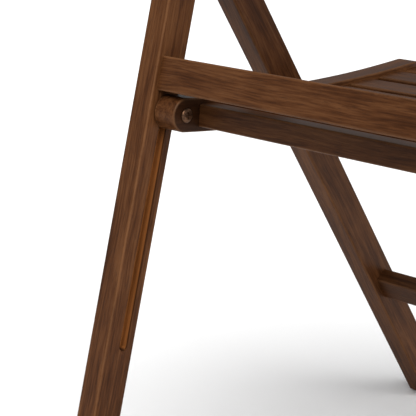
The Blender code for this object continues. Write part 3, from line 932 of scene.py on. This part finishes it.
@dataclass
class Woodwork:
    """All the wooden pieces: legs, rails, stretchers and slats."""

    slot: Slotting = Slotting(line=0.00395, end=0.19650)
    back_bow: Curve = Curve(bow=0.012)
    seat_dish: Curve = Curve(nose=0.016, fall=-0.050, bend=0.295)
    slat_tints: tuple[float, ...] = (1.0, 0.93, 1.08, 0.97, 1.05, 0.9)
    slat_seed: float = 15.7
    slat_seed_step: float = 1.3

    def members(self) -> list[Member]:
        """Lists the wooden nodes with their grain.

        Returns:
            One member per wooden node.
        """
        front, rear, seat = Body.FRONT_FRAME, Body.REAR_FRAME, Body.SEAT
        found = [
            Member("front_leg_left", front, Grain.LENGTH, 1.0, 1.05, slot=self.slot),
            Member("front_leg_right", front, Grain.LENGTH, 2.3, 0.98, slot=self.slot),
            Member("rear_leg_left", rear, Grain.LENGTH, 3.1, 1.10),
            Member("rear_leg_right", rear, Grain.LENGTH, 4.7, 1.02),
            Member("cross_rail", front, Grain.ACROSS, 5.2, 1.0),
            Member("front_stretcher", front, Grain.ACROSS, 6.6, 1.06),
            Member("rear_stretcher", rear, Grain.ACROSS, 7.4, 0.95),
            Member("back_slat_low", front, Grain.ACROSS, 8.9, 1.0, self.back_bow),
            Member("back_slat_middle", front, Grain.ACROSS, 9.6, 0.94, self.back_bow),
            Member("crest_rail", front, Grain.ACROSS, 10.3, 1.05, self.back_bow),
            Member("seat_side_rail_left", seat, Grain.DEPTH, 11.8, 1.0, self.seat_dish),
            Member("seat_side_rail_right", seat, Grain.DEPTH, 12.5, 0.97, self.seat_dish),
            Member("seat_front_bar", seat, Grain.ACROSS, 13.4, 0.8),
            Member("seat_rear_bar", seat, Grain.ACROSS, 14.2, 1.0, tilted=True),
        ]
        for index, tint in enumerate(self.slat_tints):
            node, seed = f"seat_slat_{index + 1}", self.slat_seed + self.slat_seed_step * index
            found.append(Member(node, seat, Grain.ACROSS, seed, tint, tilted=True))
        return found

    def dress(self, nodes: Nodes, finishes: Finishes) -> None:
        """Gives every wooden node its own material.

        Args:
            nodes: The frame's nodes.
            finishes: The chair's finishes.
        """
        for member in self.members():
            member.dress(nodes, finishes.wood)
            LOG.info("wood grain on %s", member.node)


def recess_reach(recess: Recess, size: float, angle: float) -> float:
    """Gives how far a driver recess's outline lies from the axis.

    Args:
        recess: The recess's shape.
        size: The recess's reach, to a hexagon's corners or along a cross's arms.
        angle: The direction in radians.

    Returns:
        The distance.
    """
    if recess is Recess.HEX:
        sector = math.pi / 3
        off = (angle + sector / 2) % sector - sector / 2
        return size * math.cos(sector / 2) / math.cos(off)
    sector = math.pi / 2
    arm = size * 0.26  # half an arm's width
    off = abs((angle + sector / 2) % sector - sector / 2)
    return min(size / math.cos(off), arm / max(math.sin(off), SAME))


class Mesher:
    """Builds one piece about the origin, with its axis along Z, from bmesh operators."""

    turn_steps = 48
    recess_taper = 0.94
    recess_tip = 0.25
    sharp = math.radians(32.0)

    def __init__(self) -> None:
        """Starts with an empty mesh."""
        self.mesh = bmesh.new()

    def lathe(self, profile: Outline) -> list[bmesh.types.BMEdge]:
        """Turns a profile about Z.

        Args:
            profile: Radius and height pairs, from the crown down the outer side.

        Returns:
            The edges of the open ring at the profile's first point, if it isn't on the axis.
        """
        points = [self.mesh.verts.new((radius, 0.0, height)) for radius, height in profile]
        edges = [self.mesh.edges.new(pair) for pair in zip(points, points[1:])]
        bmesh.ops.spin(
            self.mesh, geom=points + edges, cent=(0, 0, 0), axis=(0, 0, 1), angle=math.tau,
            steps=self.turn_steps, use_merge=True,
        )
        bmesh.ops.remove_doubles(self.mesh, verts=self.mesh.verts, dist=SAME)
        top = profile[0][1]
        return [
            edge for edge in self.mesh.edges
            if edge.is_boundary and all(abs(vert.co.z - top) < SAME for vert in edge.verts)
        ]

    def sink(
        self, rim: list[bmesh.types.BMEdge], recess: Recess, size: float, depth: float,
    ) -> None:
        """Sinks a driver recess inside an open ring and closes its floor.

        Args:
            rim: The ring's edges.
            recess: The recess's shape.
            size: Its reach from the axis.
            depth: How deep it goes.
        """
        def outline(place: Vector) -> Vector:
            """Gives the recess's outline in the direction of a place."""
            angle = math.atan2(place.y, place.x)
            return place.xy.normalized() * recess_reach(recess, size, angle)

        edges = self.step(rim, outline, 0.0)
        edges = self.step(edges, lambda place: place.xy * self.recess_taper, -depth)
        bmesh.ops.edgeloop_fill(self.mesh, edges=edges)
        floor = [face for face in self.mesh.faces if len(face.verts) == self.turn_steps]
        bmesh.ops.poke(self.mesh, faces=floor, offset=-depth * self.recess_tip)

    def step(
        self, edges: list[bmesh.types.BMEdge], move: Callable[[Vector], Vector], rise: float,
    ) -> list[bmesh.types.BMEdge]:
        """Extrudes a ring of edges and moves the new ring.

        Args:
            edges: The ring.
            move: Gives each new vertex's X and Y from its place.
            rise: How far the new ring goes up.

        Returns:
            The new ring's edges.
        """
        made = bmesh.ops.extrude_edge_only(self.mesh, edges=edges)["geom"]
        ring = {item for item in made if isinstance(item, bmesh.types.BMVert)}
        for vert in ring:
            vert.co = (*move(vert.co.copy()), vert.co.z + rise)
        return [edge for edge in self.mesh.edges if all(vert in ring for vert in edge.verts)]

    def finish(self, name: str, matrix: Matrix) -> bpy.types.Object:
        """Sets the mesh in its place and makes its object at the origin.

        Args:
            name: The piece's name.
            matrix: From the piece's own frame to the row frame.

        Returns:
            The object.
        """
        bmesh.ops.remove_doubles(self.mesh, verts=self.mesh.verts, dist=SAME)
        bmesh.ops.recalc_face_normals(self.mesh, faces=self.mesh.faces)
        if self.mesh.calc_volume(signed=True) < 0:
            bmesh.ops.reverse_faces(self.mesh, faces=self.mesh.faces)
        self.mesh.transform(matrix)
        data = bpy.data.meshes.new(name)
        self.mesh.to_mesh(data)
        self.mesh.free()
        data.shade_smooth()
        data.set_sharp_from_angle(angle=self.sharp)
        obj = bpy.data.objects.new(name, data)
        bpy.context.scene.collection.objects.link(obj)
        return obj


@dataclass(frozen=True)
class Dome:
    """The outline of a domed head that stands on height 0.

    Attributes:
        radius: The head's radius.
        height: Its height.
        opening: The radius where the outline starts, 0 for a closed crown.
        crown_share: How much of the height is dome, above the upright rim.
        ease_from: Where the rim starts to draw in at the foot, as a share of the rim.
        foot: The foot's radius, as a share of the head's.
        steps: Steps along the dome.
    """

    radius: float
    height: float
    opening: float
    crown_share: float = 0.72
    ease_from: float = 0.35
    foot: float = 0.965
    steps: int = 8

    def outline(self) -> Outline:
        """Gives radius and height pairs from the crown to the foot of the rim.

        Returns:
            The pairs.
        """
        rise = self.height * self.crown_share
        rim = self.height - rise
        first = math.asin(min(self.opening / self.radius, 1.0))
        points = []
        for index in range(self.steps + 1):
            angle = first + (math.pi / 2 - first) * index / self.steps
            points.append((self.radius * math.sin(angle), rim + rise * math.cos(angle)))
        return [*points, (self.radius, rim * self.ease_from), (self.radius * self.foot, 0.0)]


@dataclass
class Fastener:
    """A turned fastener that stands for a CAD node: a head, a shank and a driver recess.

    Attributes:
        node: The CAD node that it replaces.
        body: The body that it rides on.
        axis: The axis of the body's frame that it lies along.
        head_radius: The head's radius.
        head_height: The head's height, 0 for a flush countersunk head.
        shank_radius: The shank's radius.
        recess: The driver recess.
        recess_size: The recess's reach from the axis.
        recess_depth: How deep the recess goes.
        seed: What sets its patina apart.
        mouth: The radius of the ring round the recess, as a share of the recess's reach.
        land: How far out a countersunk head is flat, as a share of its radius.
        land_drop: How far such a head's rim lies below its flat.
        cone_drop: How far down its cone reaches the shank.
        tip: The tip's radius, as a share of the shank's.
        tip_ease: How far above the tip the shank draws in, as a share of its radius.
    """

    node: str
    body: Body
    axis: Grain
    head_radius: float
    head_height: float
    shank_radius: float
    recess: Recess
    recess_size: float
    recess_depth: float
    seed: float
    mouth: float = 1.12
    land: float = 0.93
    land_drop: float = 0.0002
    cone_drop: float = 0.0015
    tip: float = 0.72
    tip_ease: float = 0.5

    def profile(self, length: float) -> Outline:
        """Gives the outline from the recess's rim to the tip, with its middle at height 0.

        Args:
            length: The whole length.

        Returns:
            Radius and height pairs.
        """
        top, shank = length / 2, self.shank_radius
        opening = self.recess_size * self.mouth
        if self.head_height:
            crown = Dome(self.head_radius, self.head_height, opening).outline()
            head = [(radius, top - self.head_height + height) for radius, height in crown]
        else:
            head = [
                (opening, top), (self.head_radius * self.land, top),
                (self.head_radius, top - self.land_drop), (shank, top - self.cone_drop),
            ]
        neck = head[-1][1]
        return [
            *head, (shank, neck), (shank, -top + shank * self.tip_ease),
            (shank * self.tip, -top), (0.0, -top),
        ]

    def build(self, nodes: Nodes, finishes: Finishes, inward: Vector) -> bpy.types.Object:
        """Builds the fastener and hangs it on its body.

        Args:
            nodes: The frame's nodes.
            finishes: The chair's finishes.
            inward: The way that its head looks, in the row frame.

        Returns:
            The piece.
        """
        place = Place.of(nodes[self.node], self.body.lean, self.axis)
        flip = (place.turn @ inward).z < 0
        mesher = Mesher()
        rim = mesher.lathe(self.profile(2 * place.half.z))
        mesher.sink(rim, self.recess, self.recess_size, self.recess_depth)
        piece = mesher.finish(f"{self.node}_fitted", place.matrix(flip))
        clothe(piece, finishes.metal.material(self.node, place, self.seed))
        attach(piece, self.body.body_name)
        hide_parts(self.node)
        return piece


@dataclass
class SeatHardware:
    """Slide pins, pivot bolts, cap nuts and washers.

    The pins run in the front legs' grooves, and the bolts hang the seat on the rear legs.
    """

    pin_head: float = 0.0066
    pin_shank: float = 0.0035
    bolt_head: float = 0.0048
    bolt_shank: float = 0.0030
    head_height: float = 0.0030
    nut_flange: float = 0.0075
    nut_shank: float = 0.0044
    cross_size: float = 0.0036
    bolt_hex_size: float = 0.0024
    nut_hex_size: float = 0.0030
    recess_depth: float = 0.0016
    nut_recess_depth: float = 0.0018
    washer_bore: float = 0.0034
    washer_round: float = 0.6
    washer_seed: float = 9.0

    def fasteners(self, word: str) -> dict[str, Fastener]:
        """Lists one side's fasteners.

        Args:
            word: left or right.

        Returns:
            Each fastener by what it is.
        """
        seed = 1.0 if word == "left" else 5.0
        return {
            "pin": Fastener(
                f"slide_pin_{word}", Body.SEAT, Grain.ACROSS, self.pin_head, self.head_height,
                self.pin_shank, Recess.CROSS, self.cross_size, self.recess_depth, seed),
            "bolt": Fastener(
                f"pivot_bolt_{word}", Body.REAR_FRAME, Grain.ACROSS, self.bolt_head,
                self.head_height, self.bolt_shank, Recess.HEX, self.bolt_hex_size,
                self.recess_depth, seed + 1),
            "nut": Fastener(
                f"pivot_nut_{word}", Body.REAR_FRAME, Grain.ACROSS, self.nut_flange,
                self.head_height, self.nut_shank, Recess.HEX, self.nut_hex_size,
                self.nut_recess_depth, seed + 2),
        }

    def washer(self, word: str, nodes: Nodes, finishes: Finishes) -> bpy.types.Object:
        """Builds one washer with eased outer rims.

        Args:
            word: left or right.
            nodes: The frame's nodes.
            finishes: The chair's finishes.

        Returns:
            The washer.
        """
        node = f"pivot_washer_{word}"
        place = Place.of(nodes[node], Body.REAR_FRAME.lean, Grain.ACROSS)
        outer, thick = place.half.x, place.half.z
        soft = thick * self.washer_round
        mesher = Mesher()
        ring = [
            (self.washer_bore, thick), (outer - soft, thick), (outer, thick - soft),
            (outer, soft - thick), (outer - soft, -thick), (self.washer_bore, -thick),
            (self.washer_bore, thick),
        ]
        mesher.lathe(ring)
        piece = mesher.finish(f"{node}_fitted", place.matrix())
        clothe(piece, finishes.metal.material(node, place, self.washer_seed))
        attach(piece, Body.REAR_FRAME.body_name)
        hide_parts(node)
        return piece

    def build(self, nodes: Nodes, finishes: Finishes) -> None:
        """Builds both sides' pins, bolts, nuts and washers.

        Args:
            nodes: The frame's nodes.
            finishes: The chair's finishes.
        """
        for word, side in SIDES.items():
            inward = Vector((-side, 0, 0))
            for kind, fastener in self.fasteners(word).items():
                way = -inward if kind == "nut" else inward
                LOG.info("built %s", fastener.build(nodes, finishes, way).name)
            LOG.info("built %s", self.washer(word, nodes, finishes).name)


@dataclass
class Hinges:
    """The butt hinges behind the front legs: leaves, pins and countersunk screws."""

    screw_head: float = 0.0030
    screw_shank: float = 0.0015
    recess_size: float = 0.0017
    recess_depth: float = 0.0010
    pin_seed: float = 20.0
    leaf_seed: float = 24.0

    def build(self, nodes: Nodes, finishes: Finishes) -> None:
        """Dresses the leaves and pins and builds the screws.

        Args:
            nodes: The frame's nodes.
            finishes: The chair's finishes.
        """
        leaves = {"front": Body.FRONT_FRAME, "rear": Body.REAR_FRAME}
        for index, word in enumerate(SIDES):
            pin = f"hinge_pin_{word}"
            place = Place.of(nodes[pin], Body.FRONT_FRAME.lean, Grain.ACROSS)
            clothe(nodes[pin], finishes.metal.material(pin, place, self.pin_seed + index))
            for leaf, body in leaves.items():
                node = f"hinge_leaf_{leaf}_{word}"
                place = Place.of(nodes[node], body.lean, Grain.ACROSS)
                steel = finishes.metal.material(node, place, self.leaf_seed + index)
                clothe(nodes[node], steel)
                for number in (1, 2):
                    screw = self.screw(f"{node}_screw_{number}", body, nodes, finishes)
                    LOG.info("built %s", screw.name)
            LOG.info("steel on the %s hinge", word)

    def screw(
        self, node: str, body: Body, nodes: Nodes, finishes: Finishes,
    ) -> bpy.types.Object:
        """Builds one countersunk screw.

        Args:
            node: The CAD screw that it replaces.
            body: The body that it rides on.
            nodes: The frame's nodes.
            finishes: The chair's finishes.

        Returns:
            The screw.
        """
        screw = Fastener(
            node, body, Grain.DEPTH, self.screw_head, 0.0, self.screw_shank, Recess.CROSS,
            self.recess_size, self.recess_depth, float(len(node)))
        lean = Matrix.Rotation(body.lean, 3, "X")
        outward = 1 if body is Body.FRONT_FRAME else -1
        return screw.build(nodes, finishes, lean @ Vector((0, outward, 0)))


@dataclass
class Glides:
    """The nail-on glides under the feet: a rounded pad with a sunk nail.

    Attributes:
        nail_radius: The nail's radius.
        nail_length: How far it stands out of the pad's top.
        nail_point: Where its point starts, as a share of that length.
        dimple: The radius of the hollow in the pad's sole.
        dimple_depth: The hollow's depth, as a share of the pad's height.
        dimple_floor: The hollow's floor, as a share of its mouth.
        rim: The pad's side, as shares of its radius and height, from the top down.
    """

    nail_radius: float = 0.0012
    nail_length: float = 0.012
    nail_point: float = 0.75
    dimple: float = 0.0030
    dimple_depth: float = 0.35
    dimple_floor: float = 0.8
    rim: tuple[tuple[float, float], ...] = (
        (0.96, 1.0), (1.0, 0.88), (1.0, 0.45), (0.95, 0.14), (0.87, 0.0),
    )

    def profile(self, radius: float, pad: float) -> Outline:
        """Gives a glide's outline from the nail's point down to the sole.

        Args:
            radius: The pad's radius.
            pad: The pad's height.

        Returns:
            Radius and height pairs.
        """
        hollow = pad * self.dimple_depth
        return [
            (0.0, pad + self.nail_length),
            (self.nail_radius, pad + self.nail_length * self.nail_point), (self.nail_radius, pad),
            *((radius * across, pad * up) for across, up in self.rim),
            (self.dimple, 0.0), (self.dimple * self.dimple_floor, hollow), (0.0, hollow),
        ]

    def build(self, finishes: Finishes) -> None:
        """Builds the four glides.

        Args:
            finishes: The chair's finishes.
        """
        for end, body in (("front", Body.FRONT_FRAME), ("rear", Body.REAR_FRAME)):
            for word in SIDES:
                node = f"glide_{end}_{word}"
                low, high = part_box(node)
                mesher = Mesher()
                pad = high.z - low.z - self.nail_length
                mesher.lathe(self.profile((high.x - low.x) / 2, pad))
                middle = Vector(((low.x + high.x) / 2, (low.y + high.y) / 2, low.z))
                piece = mesher.finish(f"{node}_fitted", Matrix.Translation(middle))
                clothe(piece, finishes.plastic)
                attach(piece, body.body_name)
                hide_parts(node)
                LOG.info("built %s", piece.name)


def direction(azimuth: float, elevation: float) -> Vector:
    """Gives the way from the chair to a camera or a lamp.

    Args:
        azimuth: Degrees round the chair, from its front towards +X.
        elevation: Degrees above the floor.

    Returns:
        A vector of length 1.
    """
    turn, rise = math.radians(azimuth), math.radians(elevation)
    return Vector((
        math.sin(turn) * math.cos(rise), -math.cos(turn) * math.cos(rise), math.sin(rise)))


def set_up(obj: bpy.types.Object, towards: Vector) -> None:
    """Turns a camera or a lamp and puts it in the scene.

    Args:
        obj: The camera or the lamp.
        towards: The way from the chair to it.
    """
    obj.rotation_mode = "QUATERNION"
    obj.rotation_quaternion = (-towards).to_track_quat("-Z", "Y")
    bpy.context.scene.collection.objects.link(obj)


@dataclass
class Studio:
    """A pale floor, soft light and the camera.

    Attributes:
        aim: What the camera looks at, from the left slide pin's axis at the leg's inner face.
        azimuth: Where the camera stands, as direction says.
        elevation: How high it stands, likewise.
        distance: How far it is from its aim.
        lens: Its focal length in millimetres.
        sensor: Its sensor's width in millimetres.
        floor_half: Half the floor's side.
        floor_tones: The floor's two colours.
        floor_patches: The scale of their pattern.
        floor_roughness: The floor's roughness.
        world: The strength of the light from all round.
        lamps: Each sun's name, azimuth, elevation, strength and width in degrees.
    """

    aim: tuple[float, float, float] = (0.02743, 0.02797, -0.09318)
    azimuth: float = 45.558
    elevation: float = 15.361
    distance: float = 1.39764
    lens: float = 128.06
    sensor: float = 36.0
    floor_half: float = 30.0
    floor_tones: tuple[Color, Color] = ((0.90, 0.90, 0.90), (0.92, 0.92, 0.92))
    floor_patches: float = 3.0
    floor_roughness: float = 0.9
    world: float = 0.40
    lamps: tuple[tuple[str, float, float, float, float], ...] = (
        ("key", 48.0, 52.0, 3.5, 50.0),
        ("fill", 92.0, 24.0, 0.9, 60.0),
    )

    def camera(self) -> None:
        """Places the camera at the chair's left front corner."""
        pin_low, pin_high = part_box("slide_pin_left")
        leg_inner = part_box("front_leg_left")[1].x
        pin = (pin_low + pin_high) / 2
        back = direction(self.azimuth, self.elevation)
        data = bpy.data.cameras.new("camera")
        data.lens, data.sensor_width = self.lens, self.sensor
        camera = bpy.data.objects.new("camera", data)
        camera.location = (
            Vector((leg_inner, pin.y, pin.z)) + Vector(self.aim) + back * self.distance)
        set_up(camera, back)
        bpy.context.scene.camera = camera

    def floor(self) -> None:
        """Lays a pale matt floor under the feet."""
        mesh = bmesh.new()
        bmesh.ops.create_grid(mesh, x_segments=1, y_segments=1, size=self.floor_half)
        data = bpy.data.meshes.new("floor")
        mesh.to_mesh(data)
        mesh.free()
        floor = bpy.data.objects.new("floor", data)
        bpy.context.scene.collection.objects.link(floor)
        material, graph = start_material("pale_floor")
        place = graph.add("ShaderNodeTexCoord").outputs["Object"]
        patches = graph.noise(place, self.floor_patches, detail=2.0)
        tone = graph.blend(patches, *self.floor_tones)
        graph.shade({
            "Base Color": tone, "Roughness": self.floor_roughness, "Specular IOR Level": 0.0})
        clothe(floor, material)

    def lights(self) -> None:
        """Adds the broad, soft lamps and the light from all round, which the camera sees white."""
        world = bpy.data.worlds.new("studio")
        world.use_nodes = True
        graph = Graph(world.node_tree)
        seen = graph.add("ShaderNodeLightPath").outputs["Is Camera Ray"]
        background = world.node_tree.nodes["Background"]
        graph.feed(background.inputs["Color"], (1.0, 1.0, 1.0))
        strength = graph.math("MULTIPLY_ADD", seen, 1.0 - self.world, self.world)
        graph.feed(background.inputs["Strength"], strength)
        bpy.context.scene.world = world
        for name, azimuth, elevation, strength, width in self.lamps:
            data = bpy.data.lights.new(name, "SUN")
            data.energy, data.angle = strength, math.radians(width)
            set_up(bpy.data.objects.new(name, data), direction(azimuth, elevation))

    def build(self) -> None:
        """Sets up the studio."""
        self.camera()
        self.floor()
        self.lights()
        bpy.context.scene.view_settings.view_transform = "Standard"
        LOG.info("built the studio")


def main() -> None:
    """Builds every piece of the chair's looks around its frame."""
    logging.basicConfig(level=logging.INFO, format="%(name)s: %(message)s")
    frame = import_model()
    nodes = frame["nodes"]
    effects = Effects()
    finishes = Finishes(WoodFinish(effects), MetalFinish(effects), PlasticFinish().material())
    Studio().build()
    Woodwork().dress(nodes, finishes)
    SeatHardware().build(nodes, finishes)
    Hinges().build(nodes, finishes)
    Glides().build(finishes)


if __name__ == "__main__":
    main()
